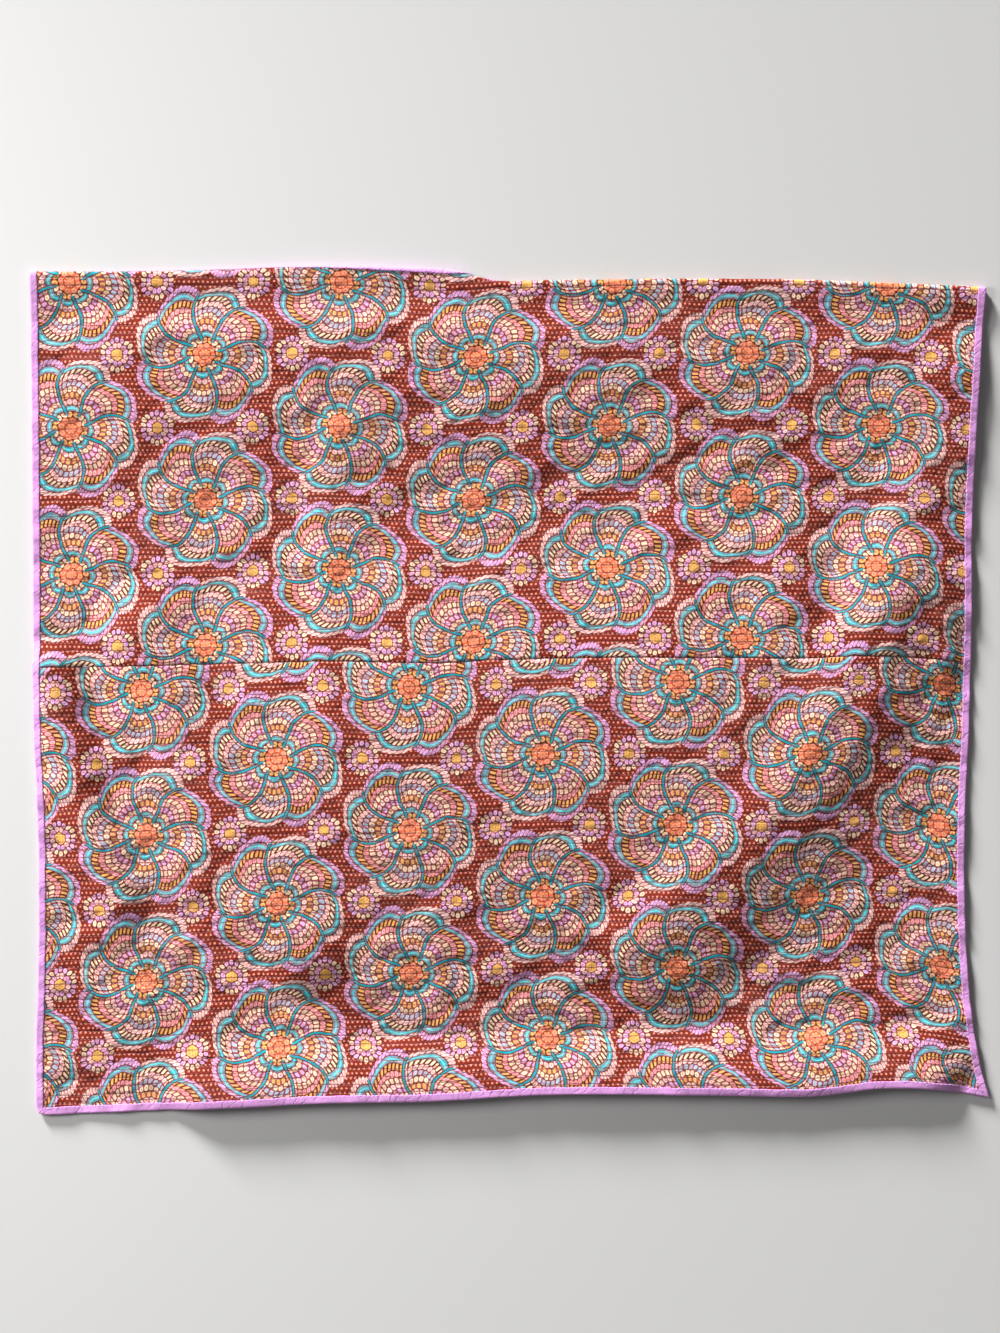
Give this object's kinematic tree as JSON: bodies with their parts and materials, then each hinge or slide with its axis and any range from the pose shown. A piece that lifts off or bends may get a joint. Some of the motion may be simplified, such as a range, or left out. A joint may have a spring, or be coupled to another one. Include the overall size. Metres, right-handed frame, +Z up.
{
  "type": "quilt",
  "caption": "Hand-quilted cotton bedcover of two joined printed panels with plain bound edges, laid out flat in soft low folds with its top edge turned under.",
  "frame": {"origin": "on the floor under the middle of the laid-out quilt", "axes": "+X along the width to the right, +Y towards the turned top edge, +Z up from the floor through the printed face"},
  "size_m": [2.4089, 2.1325, 0.0466],
  "materials": {
    "printed_cotton": "soft washed cotton with a many-coloured print on rust brown and rows of running stitch",
    "binding_cotton": "plain lilac cotton, matt, puckered along its edge"
  },
  "bodies": {
    "root": {"upper_panel": "printed_cotton", "lower_panel": "printed_cotton", "binding_top": "binding_cotton", "binding_bottom": "binding_cotton", "binding_left": "binding_cotton", "binding_right": "binding_cotton"}
  },
  "joints": []
}
